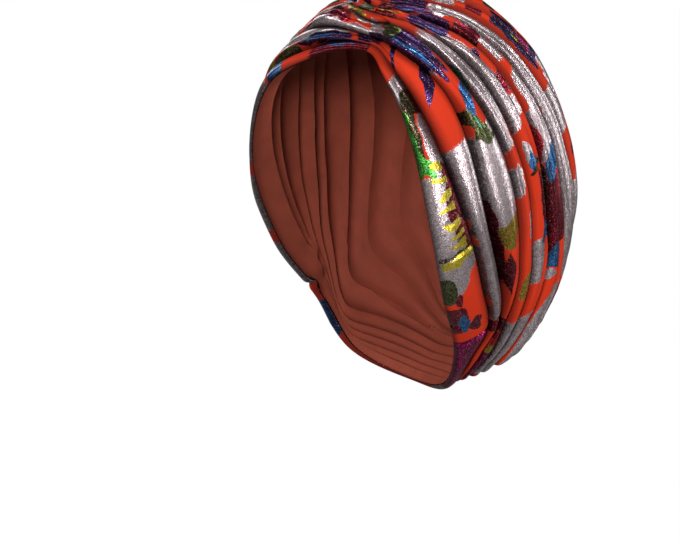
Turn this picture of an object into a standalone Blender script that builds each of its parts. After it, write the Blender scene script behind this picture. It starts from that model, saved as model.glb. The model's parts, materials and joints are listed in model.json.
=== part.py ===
"""Turban head wrap: a pleated, pre-gathered cap of printed jersey.

Frame: +X is the wearer's left, +Y the back, +Z up. The origin lies midway between the ear canals, where the
wrap sits on the wearer. All tables are in millimetres and become metres when the meshes are made.

The folds run from a gather at the front centre, over the sides, to a gather at the nape. A station is a share of
that way, from 0 at the front to 1 at the nape. A height is a share of the way up a section, from 0 at the face
hem to 1 at the centre line of the crown.
"""

import math

import bmesh
import bpy
import numpy as np

MM = 0.001
CLOTH = 1.6
GATHERED_CLOTH = 1.1
GAP = 0.7

# One row for each section across the folds: its face hem, its widest point and its crown.
SECTION_COLUMNS = ("hem_x", "hem_y", "hem_z", "wide_x", "wide_y", "wide_z", "crown_y", "crown_z")
SECTIONS = {
    0.00: (0, -39, 124, 0, -42, 148, -20, 168),
    0.12: (25, -50, 113, 29, -45, 138, -8, 170),
    0.28: (49, -50, 87, 65, -29, 111, 14, 169),
    0.46: (67, -33, 34, 84, 14, 78, 42, 163),
    0.62: (64, 1, -10, 90, 48, 41, 83, 144),
    0.76: (52, 42, -44, 86, 83, 2, 124, 98),
    0.88: (36, 66, -74, 64, 96, -39, 134, 20),
    1.00: (0, 84, -84, 0, 118, -58, 120, -26),
}
# The brow band sits a little higher on the wearer's right.
RIGHT_HEMS = {0.12: (27, -44, 116), 0.28: (54, -56, 91), 0.46: (66, -40, 40)}
HEM_TURN = math.radians(60)

# One row for each fold: the height of its upper valley at each fold station, then how far it stands out.
FOLD_STATIONS = (0.00, 0.25, 0.45, 0.65, 0.78, 1.00)
FOLDS = {
    "brow": (0.08, 0.085, 0.11, 0.10, 0.06, 0.13, 5.0),
    "tube": (0.16, 0.225, 0.20, 0.155, 0.10, 0.25, 6.5),
    "wide": (0.33, 0.32, 0.30, 0.21, 0.135, 0.37, 7.5),
    "narrow": (0.43, 0.42, 0.355, 0.265, 0.175, 0.48, 4.5),
    "temple": (0.54, 0.52, 0.475, 0.335, 0.22, 0.60, 7.0),
    "ear": (0.64, 0.61, 0.57, 0.48, 0.355, 0.70, 7.0),
    "shoulder": (0.72, 0.68, 0.655, 0.59, 0.49, 0.77, 6.5),
    "upper": (0.80, 0.77, 0.75, 0.71, 0.64, 0.84, 6.5),
    "top": (0.875, 0.86, 0.845, 0.82, 0.77, 0.90, 6.5),
    "ridge": (0.95, 0.945, 0.94, 0.93, 0.91, 0.96, 6.5),
    "crest": (1.05, 1.055, 1.06, 1.07, 1.09, 1.04, 6.5),
}
DEEPEST_SHARE = 0.42
VALLEY_SINK = 0.3
# The folds are flatter where they turn under to the nape.
NAPE_STATION = 0.84
NAPE_SPREAD = 0.09
NAPE_FLATTER = 0.35
FOLD_STEPS = 4

# The front gather ends at the first station and the nape roll starts at the second; each joint has a gap this wide.
GATHER_END = 0.07
ROLL_START = 0.84
BAND_START = 0.008
JOINT_GAP = 0.003
CROWN_FIRST = 7

ORANGE = (0.86, 0.09, 0.02, 1.0)
SILVER = (0.62, 0.55, 0.55, 1.0)
MAROON = (0.16, 0.01, 0.03, 1.0)


def smooth(knots, values, at, ends):
    """A Catmull-Rom curve through the values; past each end they repeat with the sign in ends, as in a mirror."""
    t = np.array(knots, float)
    y = np.array(values, float)
    t = np.concatenate([[2 * t[0] - t[1]], t, [2 * t[-1] - t[-2]]])
    y = np.concatenate([[ends * y[1]], y, [ends * y[-2]]])
    slope = np.zeros_like(y)
    slope[1:-1] = (y[2:] - y[:-2]) / (t[2:] - t[:-2])
    i = np.clip(np.searchsorted(t, at, side="right") - 1, 1, len(t) - 3)
    step = t[i + 1] - t[i]
    k = (at - t[i]) / step
    return (
        (2 * k**3 - 3 * k**2 + 1) * y[i]
        + (k**3 - 2 * k**2 + k) * step * slope[i]
        + (3 * k**2 - 2 * k**3) * y[i + 1]
        + (k**3 - k**2) * step * slope[i + 1]
    )


def section_table(side):
    rows = dict(SECTIONS)
    if side < 0:
        for station, hem in RIGHT_HEMS.items():
            rows[station] = hem + rows[station][3:]
    return rows


def section_curve(side, station, points=61):
    """Points of one section's arc, from the face hem to the crown, and their shares of its length."""
    rows = section_table(side)
    c = {
        name: smooth(list(rows), [row[i] for row in rows.values()], station, -1 if name.endswith("_x") else 1)
        for i, name in enumerate(SECTION_COLUMNS)
    }
    k = np.linspace(0, 1, points)
    turn = HEM_TURN * (1 - k)
    centre_x = (c["hem_x"] - c["wide_x"] * math.cos(HEM_TURN)) / (1 - math.cos(HEM_TURN))
    down = np.sin(turn) / math.sin(HEM_TURN)
    low_x = centre_x + (c["wide_x"] - centre_x) * np.cos(turn)
    low_y = c["wide_y"] + (c["hem_y"] - c["wide_y"]) * down
    low_z = c["wide_z"] + (c["hem_z"] - c["wide_z"]) * down
    rise = math.pi / 2 * k[1:]
    high_x = c["wide_x"] * np.cos(rise)
    high_y = c["wide_y"] + (c["crown_y"] - c["wide_y"]) * np.sin(rise)
    high_z = c["wide_z"] + (c["crown_z"] - c["wide_z"]) * np.sin(rise)
    arc = np.stack(
        [np.concatenate([low_x, high_x]), np.concatenate([low_y, high_y]), np.concatenate([low_z, high_z])], axis=1
    )
    lengths = np.concatenate([[0], np.cumsum(np.linalg.norm(np.diff(arc, axis=0), axis=1))])
    return arc * (side, 1, 1), lengths


def valleys(station):
    """The heights of the fold valleys at this station, from the hem up, the last one past the crown."""
    return np.array([0.0] + [smooth(FOLD_STATIONS, row[:-1], station, 1) for row in FOLDS.values()])


def mean_point(side, station, height):
    arc, lengths = section_curve(side, station)
    if height > 1:
        return mean_point(-side, station, 2 - height)
    share = height * lengths[-1]
    return np.array([np.interp(share, lengths, arc[:, i]) for i in range(3)])


def outward(side, station, height):
    """The unit normal of the mean surface, away from the wearer. On the centre plane it stays in that plane."""
    step = 0.01
    centred = station in (0.0, 1.0)
    if centred:
        height = min(height, 1 - 2 * step)
    along = mean_point(side, min(station + step, 1.0), height) - mean_point(side, max(station - step, 0.0), height)
    across = mean_point(side, station, height + step) - mean_point(side, station, max(height - step, 0.0))
    normal = np.cross(along, across) * side
    if centred:
        normal[0] = 0.0
    return normal / np.linalg.norm(normal)


def relief(side, station, height):
    """How far the cloth stands out from the mean surface: round folds with sharp valleys between them."""
    edges = valleys(station)
    length = section_curve(side, station)[1][-1]
    i = int(np.clip(np.searchsorted(edges, height, side="right") - 1, 0, len(FOLDS) - 1))
    width = (edges[i + 1] - edges[i]) * length
    stand = min(list(FOLDS.values())[i][-1], DEEPEST_SHARE * width)
    stand *= 1 - NAPE_FLATTER * math.exp(-(((station - NAPE_STATION) / NAPE_SPREAD) ** 2))
    across = 2 * (height - edges[i]) / (edges[i + 1] - edges[i]) - 1
    round_share = math.sqrt(max(0.0, 1 - across**2))
    sink = VALLEY_SINK * stand * min(1.0, height / edges[1])
    return stand * round_share - sink


def surface(side, station, height):
    return mean_point(side, station, height) + relief(side, station, height) * outward(side, station, height)


def fold_heights(station, first, last):
    """Heights across whole folds, from valley number first to valley number last, closer together near valleys."""
    edges = valleys(station)
    across = 0.5 - 0.5 * np.cos(np.linspace(0, math.pi, FOLD_STEPS + 1)[:-1])
    heights = [edges[i] + across * (edges[i + 1] - edges[i]) for i in range(first, last)]
    return np.concatenate(heights + [[edges[last]]])


def open_sheet(name, rows, thin_ends):
    """An object made from a grid whose points are moved to the rows of points; thin_ends is a thickness share a row."""
    mesh = bpy.data.meshes.new(name)
    shaper = bmesh.new()
    count_along, count_across = len(rows), len(rows[0])
    bmesh.ops.create_grid(shaper, x_segments=count_along - 1, y_segments=count_across - 1, size=1)
    layer = shaper.verts.layers.deform.verify()
    for vert in shaper.verts:
        i = round((vert.co.x + 1) / 2 * (count_along - 1))
        j = round((vert.co.y + 1) / 2 * (count_across - 1))
        vert.co = rows[i][j] * MM
        vert[layer][0] = thin_ends[i]
    bmesh.ops.remove_doubles(shaper, verts=shaper.verts, dist=1e-6)
    shaper.to_mesh(mesh)
    shaper.free()
    sheet = bpy.data.objects.new(name, mesh)
    sheet.vertex_groups.new(name="thickness")
    return sheet


def finish_cloth(sheet, material, collection, seat):
    """Gives the open sheet its thickness, towards the wearer, and its material."""
    collection.objects.link(sheet)
    sheet.parent = seat
    solidify = sheet.modifiers.new("cloth", "SOLIDIFY")
    solidify.thickness = CLOTH * MM
    solidify.offset = -1
    solidify.vertex_group = "thickness"
    solidify.thickness_vertex_group = GATHERED_CLOTH / CLOTH
    sheet.data.materials.append(material)
    sheet.data.shade_smooth()
    return sheet


def thickness_share(station):
    """Full thickness on the sides, thinner where the cloth is gathered."""
    away = min(station, 1 - station) / 0.25
    return min(1.0, away)


def trimmed(side, station, heights, low_gap, high_gap):
    """Draws the first and last height in by half a gap, so that neighbours don't touch."""
    length = section_curve(side, station)[1][-1]
    heights = heights.copy()
    heights[0] += low_gap * GAP / 2 / length
    heights[-1] -= high_gap * GAP / 2 / length
    return heights


def side_rows(side, stations, first, last, low_gap, high_gap):
    rows = []
    for station in stations:
        heights = trimmed(side, station, fold_heights(station, first, last), low_gap, high_gap)
        rows.append([surface(side, station, height) for height in heights])
    return rows


def across_front_or_back(stations, first, last, low_gap, high_gap):
    """Rows from the wearer's left, through the centre, to the wearer's right."""
    left = side_rows(1, stations, first, last, low_gap, high_gap)
    right = side_rows(-1, stations[:-1], first, last, low_gap, high_gap)
    return left + right[::-1]


def crown_rows(stations, first):
    """Rows over the crown from the left valley number first to the same valley on the right."""
    rows = []
    last = len(FOLDS) - 1
    for station in stations:
        half = {}
        for side in (1, -1):
            heights = list(trimmed(side, station, fold_heights(station, first, last), 1, 0))
            top = valleys(station)[last]
            heights += [top + (1 - top) * share for share in (0.3, 1.0)]
            half[side] = [surface(side, station, height) for height in heights]
        rows.append(half[1] + half[-1][-2::-1])
    return rows


def cloth_material(name, colour, roughness, metallic):
    material = bpy.data.materials.new(name)
    material.use_nodes = True
    shader = material.node_tree.nodes["Principled BSDF"]
    shader.inputs["Base Color"].default_value = colour
    shader.inputs["Roughness"].default_value = roughness
    shader.inputs["Metallic"].default_value = metallic
    material.diffuse_color = colour
    return material


def build():
    for old in list(bpy.data.objects):
        bpy.data.objects.remove(old, do_unlink=True)
    collection = bpy.data.collections.new("turban_head_wrap")
    bpy.context.scene.collection.children.link(collection)
    seat = bpy.data.objects.new("head_seat", None)
    collection.objects.link(seat)

    jersey = cloth_material("orange_jersey", ORANGE, 0.8, 0.0)
    foil = cloth_material("silver_foil_jersey", SILVER, 0.4, 0.7)
    glitter = cloth_material("maroon_glitter_jersey", MAROON, 0.45, 0.4)

    side_way = np.linspace(GATHER_END, ROLL_START, 22)
    band_way = np.linspace(BAND_START, ROLL_START, 24)
    gather_way = np.linspace(GATHER_END - JOINT_GAP, 0.0, 3)
    roll_way = np.linspace(ROLL_START + JOINT_GAP, 1.0, 6)
    crown_way = np.concatenate([np.linspace(0, 0.1, 4)[:-1], np.linspace(0.1, 0.86, 18), (0.9, 0.95, 1.0)])

    for word, side, material in (("left", 1, foil), ("right", -1, jersey)):
        band = open_sheet(
            f"brow_band_{word}",
            side_rows(side, band_way, 0, 1, 0, 1)[::side],
            [thickness_share(station) for station in band_way][::side],
        )
        finish_cloth(band, material, collection, seat)
        folds = open_sheet(
            f"side_folds_{word}",
            side_rows(side, side_way, 1, CROWN_FIRST, 1, 1)[::side],
            [thickness_share(station) for station in side_way][::side],
        )
        finish_cloth(folds, foil, collection, seat)

    gather = across_front_or_back(gather_way, 1, CROWN_FIRST, 1, 1)
    finish_cloth(open_sheet("front_gather", gather[::-1], [0.0] * len(gather)), jersey, collection, seat)
    roll = across_front_or_back(roll_way, 0, CROWN_FIRST, 0, 1)
    finish_cloth(open_sheet("nape_roll", roll, [0.5] * len(roll)), glitter, collection, seat)
    crown = crown_rows(crown_way, CROWN_FIRST)
    crown_thickness = [thickness_share(station) for station in crown_way]
    finish_cloth(open_sheet("crown_folds", crown, crown_thickness), foil, collection, seat)


build()
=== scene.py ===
"""The looks of the turban head wrap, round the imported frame.

Frame: +X is the wearer's left, +Y the back, +Z up. Side 1 is the wearer's left and side -1 the right.
Tables are in millimetres where they don't say otherwise, and become metres in the meshes. A station runs
along the folds from 0 at the front gather to 1 at the nape. A height is a share of the way up a section,
from 0 at the face hem to 1 at the centre line of the crown. Across a fold, -1 is its lower valley and 1
its upper one.
"""

import json
import math

import bpy
import numpy as np
from mathutils import Matrix, Vector

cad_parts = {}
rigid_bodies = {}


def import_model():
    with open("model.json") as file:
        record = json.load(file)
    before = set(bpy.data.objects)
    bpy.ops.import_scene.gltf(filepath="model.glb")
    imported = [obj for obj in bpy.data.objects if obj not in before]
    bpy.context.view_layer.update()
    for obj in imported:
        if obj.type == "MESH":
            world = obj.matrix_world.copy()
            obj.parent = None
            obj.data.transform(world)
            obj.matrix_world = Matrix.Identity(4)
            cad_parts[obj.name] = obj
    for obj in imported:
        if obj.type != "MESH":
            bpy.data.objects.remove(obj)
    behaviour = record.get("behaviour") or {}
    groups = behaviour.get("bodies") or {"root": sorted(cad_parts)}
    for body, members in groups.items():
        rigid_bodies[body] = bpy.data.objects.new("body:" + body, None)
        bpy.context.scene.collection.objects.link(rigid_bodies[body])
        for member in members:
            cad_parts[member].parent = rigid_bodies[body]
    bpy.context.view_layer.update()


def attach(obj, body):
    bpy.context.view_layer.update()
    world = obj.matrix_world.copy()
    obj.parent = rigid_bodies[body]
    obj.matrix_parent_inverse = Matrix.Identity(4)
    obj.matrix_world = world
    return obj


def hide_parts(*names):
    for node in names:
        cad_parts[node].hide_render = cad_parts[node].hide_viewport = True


MM = 0.001
# All noise and the scatter start from this seed. Each fold has seeds of its own, at these steps.
SEED = 11
FOLD_SEEDS = 50
SWELL_SEEDS = 7
TUCK_SEEDS = 1000
PITCHES = (0.6, 1.6)

# One row for each section across the folds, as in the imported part.
SECTION_COLUMNS = ("hem_x", "hem_y", "hem_z", "wide_x", "wide_y", "wide_z", "crown_y", "crown_z")
SECTIONS = {
    0.00: (0, -39, 124, 0, -42, 148, -20, 168),
    0.12: (25, -50, 113, 29, -45, 138, -8, 170),
    0.28: (49, -50, 87, 65, -29, 111, 14, 169),
    0.46: (67, -33, 34, 84, 14, 78, 42, 163),
    0.62: (64, 1, -10, 90, 48, 41, 83, 144),
    0.76: (52, 42, -44, 86, 83, 2, 124, 98),
    0.88: (36, 66, -74, 64, 96, -39, 134, 20),
    1.00: (0, 84, -84, 0, 118, -58, 120, -26),
}
RIGHT_HEMS = {0.12: (27, -44, 116), 0.28: (54, -56, 91), 0.46: (66, -40, 40)}
HEM_TURN = math.radians(60)
ARC_POINTS = 61

# One row for each fold: the height of its upper valley at each fold station, then how far it stands out.
FOLD_STATIONS = (0.00, 0.10, 0.25, 0.45, 0.65, 0.74, 0.80, 0.87, 1.00)
FOLDS = {
    "brow": (0.08, 0.08, 0.085, 0.117, 0.110, 0.100, 0.060, 0.045, 0.08, 5.0),
    "tube": (0.16, 0.19, 0.225, 0.188, 0.165, 0.130, 0.088, 0.062, 0.15, 6.5),
    "wide": (0.33, 0.375, 0.33, 0.315, 0.225, 0.160, 0.132, 0.095, 0.23, 7.5),
    "narrow": (0.43, 0.445, 0.42, 0.37, 0.275, 0.205, 0.170, 0.135, 0.31, 4.5),
    "temple": (0.54, 0.535, 0.52, 0.475, 0.345, 0.265, 0.225, 0.190, 0.41, 7.0),
    "ear": (0.64, 0.63, 0.61, 0.57, 0.48, 0.395, 0.340, 0.31, 0.54, 7.0),
    "shoulder": (0.72, 0.705, 0.68, 0.655, 0.59, 0.525, 0.475, 0.46, 0.66, 6.5),
    "upper": (0.80, 0.79, 0.77, 0.75, 0.71, 0.665, 0.630, 0.62, 0.76, 6.5),
    "top": (0.875, 0.87, 0.86, 0.845, 0.82, 0.785, 0.765, 0.76, 0.86, 6.5),
    "ridge": (0.95, 0.948, 0.945, 0.94, 0.93, 0.915, 0.910, 0.905, 0.94, 6.5),
    "crest": (1.05, 1.05, 1.055, 1.06, 1.07, 1.085, 1.090, 1.090, 1.04, 6.5),
}
NAMES = list(FOLDS)
# A fold stands out by its number times FULLER, up to this share of its width, and its valleys sink in.
FULLER = 1.12
DEEPEST_SHARE = 0.46
VALLEY_SINK = 0.5
PROFILE_POWER = 2.5
# The folds are flatter where they turn under to the nape, and so is the right brow.
NAPE_STATION = 0.84
NAPE_SPREAD = 0.09
NAPE_FLATTER = 0.2
RIGHT_BROW_SPAN = (0.14, 0.5)
RIGHT_BROW_FLATTER = 0.6
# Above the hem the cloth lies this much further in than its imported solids.
SNUG = 1.2
SNUG_RISE = 0.1
# The folds lean towards the hem, away from it and from the crown.
LEAN = 0.32
LEAN_RISE = (0.02, 0.2)
LEAN_FALL = (0.85, 1.0)
LEAN_SPAN = (0.06, 0.94)
# The first fold of the crown, and the stations where the front gather ends and the nape roll starts.
CROWN_FIRST = 7
GATHER_END = 0.07
ROLL_START = 0.84
# The length along the folds that the print is laid out on.
ALONG = 400.0

# The valleys wander, the folds swell and thin, and the cloth has dents and fine strands. Each has its
# size and its waves or lengths, and where it needs them its seed and the stations of its full size.
WANDER = 0.006
WANDER_WAVES = 16
WANDER_SPAN = (0.14, 0.84)
SWELL = 0.16
SWELL_WAVES = 20
SWELL_SEED = 300
SWELL_SPAN = (0.1, 0.9)
DENT_DEPTH = 0.24
DENT_LONG = 16
DENT_HIGH = 5
DENT_SEED = 5
STRAND_DEPTH = 0.45
STRAND_LONG = 60
STRAND_HIGH = 1.1
STRAND_SEED = 9
STRAND_RISE = 0.04
STRANDS_FROM_FRONT = (0.04, 0.26)
STRANDS_TO_NAPE = (0.72, 0.9)
FINE_WAVES = 12
# Dents and strands stop at the valleys; the higher this power, the closer they come to them.
CALM_POWER = 4

# The grid: rows along the folds and columns across each of them. The inner face is the cloth's thickness
# below the lowest relief within this many rows and columns.
ROWS = 281
ACROSS = 24
STATIONS = np.linspace(0, 1, ROWS)
THICK = 1.2
INNER_REACH = (2, 4)
WELD_DIGITS = 4

# Tucks along a fold: where each starts and ends, its place across the fold, its depth and half width.
TUCK_COLUMNS = ("side", "fold", "start", "end", "place", "depth", "width")
TUCKS = (
    (1, "brow", -0.10, 0.12, 0.15, 1.2, 0.8),
    (1, "tube", -0.10, 0.10, -0.10, 1.8, 1.1),
    (1, "tube", 0.10, 0.33, 0.72, 1.0, 1.2),
    (1, "wide", -0.10, 0.16, 0.35, 2.6, 1.2),
    (1, "wide", 0.06, 0.24, -0.30, 1.8, 1.1),
    (1, "wide", 0.20, 0.36, 0.10, 1.4, 1.3),
    (1, "wide", 0.52, 0.66, 0.45, 1.6, 1.6),
    (1, "narrow", 0.10, 0.34, 0.20, 0.9, 0.9),
    (1, "temple", -0.10, 0.20, -0.20, 2.2, 1.2),
    (1, "temple", 0.16, 0.42, 0.15, 2.4, 1.3),
    (1, "temple", 0.42, 0.70, 0.20, 2.2, 1.6),
    (1, "ear", -0.05, 0.24, 0.10, 2.2, 1.3),
    (1, "ear", 0.24, 0.46, -0.35, 2.2, 1.3),
    (1, "ear", 0.42, 0.60, 0.25, 2.4, 1.3),
    (1, "ear", 0.62, 0.86, -0.10, 2.0, 1.4),
    (1, "shoulder", 0.08, 0.34, -0.10, 1.8, 1.3),
    (1, "shoulder", 0.34, 0.74, 0.20, 2.2, 1.3),
    (1, "upper", 0.10, 0.40, -0.15, 2.2, 1.6),
    (1, "upper", 0.38, 0.72, 0.20, 1.8, 1.5),
    (1, "top", 0.15, 0.60, 0.00, 2.0, 1.8),
    (-1, "brow", -0.05, 0.26, 0.10, 1.2, 0.8),
    (-1, "tube", -0.10, 0.24, 0.05, 2.0, 1.1),
    (-1, "tube", 0.22, 0.55, 0.25, 1.6, 1.3),
    (-1, "wide", -0.10, 0.22, 0.20, 2.4, 1.2),
    (-1, "wide", 0.20, 0.60, -0.30, 2.2, 1.4),
    (-1, "temple", 0.05, 0.55, 0.05, 2.4, 1.5),
    (-1, "ear", 0.25, 0.70, -0.20, 2.2, 1.4),
    (-1, "shoulder", 0.15, 0.60, 0.25, 1.8, 1.3),
    (-1, "upper", 0.30, 0.70, 0.00, 2.2, 1.5),
    (-1, "top", 0.10, 0.50, 0.30, 2.0, 1.6),
)
TUCK_DRIFT = 0.12
TUCK_WAVES = 12
TUCK_FADE = 0.1

# Deep valleys: the fold just above each, where it runs, how much deeper it is and its half width.
DEEP_COLUMNS = ("side", "fold", "start", "end", "depth", "width")
DEEPS = (
    (1, "tube", 0.12, 0.56, 1.2, 1.2),
    (1, "tube", 0.54, 0.74, 2.5, 1.6),
    (1, "wide", 0.28, 0.76, 3.5, 1.8),
    (1, "wide", 0.48, 0.72, 3.0, 3.6),
    (1, "narrow", 0.15, 0.60, 2.5, 1.4),
    (1, "narrow", 0.70, 0.88, 2.5, 1.6),
    (1, "temple", 0.18, 0.45, 2.0, 1.3),
    (1, "ear", 0.44, 0.68, 3.0, 1.6),
    (1, "ear", 0.50, 0.66, 3.5, 3.6),
    (1, "ear", 0.10, 0.40, 1.5, 1.3),
    (1, "shoulder", 0.15, 0.72, 3.0, 1.5),
    (1, "upper", 0.15, 0.72, 3.0, 1.5),
    (1, "top", 0.10, 0.72, 2.5, 1.5),
    (-1, "tube", 0.10, 0.70, 2.5, 1.6),
    (-1, "temple", 0.15, 0.70, 3.0, 1.8),
    (-1, "shoulder", 0.15, 0.65, 2.5, 1.6),
)
DEEP_FADE = 0.12
# How much further the painted shade reaches beside a deep valley.
DEEP_SHADE = 0.45

# Creases across a fold: the station of each at the middle of the fold and its slant, its reach across the
# fold, its depth and its half width.
CREASE_COLUMNS = ("side", "fold", "station", "low", "high", "slant", "depth", "width")
CREASES = (
    (1, "brow", 0.521, -0.9, 1.5, 0.004, 1.8, 0.8),
    (1, "brow", 0.455, -0.2, 1.5, 0.006, 0.6, 1.2),
    (1, "brow", 0.738, -1.5, 1.5, -0.004, 3.0, 1.8),
    (1, "brow", 0.700, -1.5, -0.2, 0.020, 1.2, 1.2),
    (1, "tube", 0.722, -1.5, 1.5, -0.010, 3.2, 2.0),
    (1, "brow", 0.000, -1.5, 1.5, 0.0, 1.3, 1.1),
    (1, "tube", 0.000, -1.5, 1.5, 0.0, 1.3, 1.1),
    (-1, "brow", 0.000, -1.5, 1.5, 0.0, 1.3, 1.1),
    (-1, "tube", 0.000, -1.5, 1.5, 0.0, 1.3, 1.1),
    (-1, "brow", 0.735, -1.5, 1.5, 0.010, 3.0, 2.4),
    (-1, "tube", 0.725, -1.5, 1.5, 0.006, 3.4, 2.6),
)
CREASE_FADE = 0.3

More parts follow.
